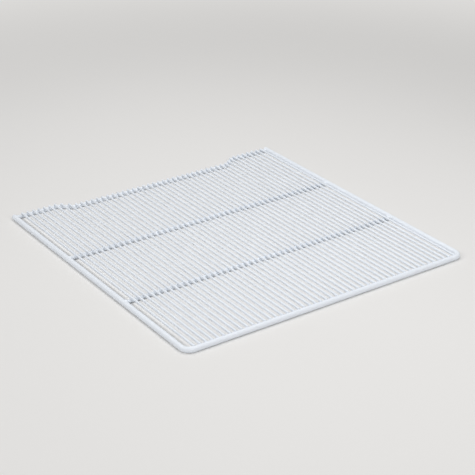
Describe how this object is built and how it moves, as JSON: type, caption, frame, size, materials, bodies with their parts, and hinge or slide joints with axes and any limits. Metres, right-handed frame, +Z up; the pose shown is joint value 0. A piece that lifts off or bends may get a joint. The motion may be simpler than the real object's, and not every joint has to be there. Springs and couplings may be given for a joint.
{
  "type": "refrigerator wire shelf",
  "caption": "Flat refrigerator shelf of white coated wires welded side by side over cross rods inside a rod bent round its sides and front, with a stepped rear edge.",
  "frame": {"origin": "centre of the shelf's outline, on the surface that the frame rod lies on", "axes": "+Z up, out of the side that goods stand on; +Y towards the stepped rear edge; +X to the right seen from the front"},
  "size_m": [0.5024, 0.5044, 0.0098],
  "materials": {
    "coating": "smooth satin white plastic coating on steel"
  },
  "bodies": {
    "root": {"frame_rod": "coating", "cross_rod_1": "coating", "cross_rod_2": "coating", "rear_rod": "coating", "wire_01": "coating", "wire_02": "coating", "wire_03": "coating", "wire_04": "coating", "wire_05": "coating", "wire_06": "coating", "wire_07": "coating", "wire_08": "coating", "wire_09": "coating", "wire_10": "coating", "wire_11": "coating", "wire_12": "coating", "wire_13": "coating", "wire_14": "coating", "wire_15": "coating", "wire_16": "coating", "wire_17": "coating", "wire_18": "coating", "wire_19": "coating", "wire_20": "coating", "wire_21": "coating", "wire_22": "coating", "wire_23": "coating", "wire_24": "coating", "wire_25": "coating", "wire_26": "coating", "wire_27": "coating", "wire_28": "coating", "wire_29": "coating", "wire_30": "coating", "wire_31": "coating", "wire_32": "coating", "wire_33": "coating", "wire_34": "coating", "wire_35": "coating", "wire_36": "coating", "wire_37": "coating", "wire_38": "coating", "wire_39": "coating", "wire_40": "coating", "wire_41": "coating", "wire_42": "coating", "wire_43": "coating", "wire_44": "coating", "wire_45": "coating", "wire_46": "coating", "wire_47": "coating", "wire_48": "coating", "wire_49": "coating"}
  },
  "joints": []
}
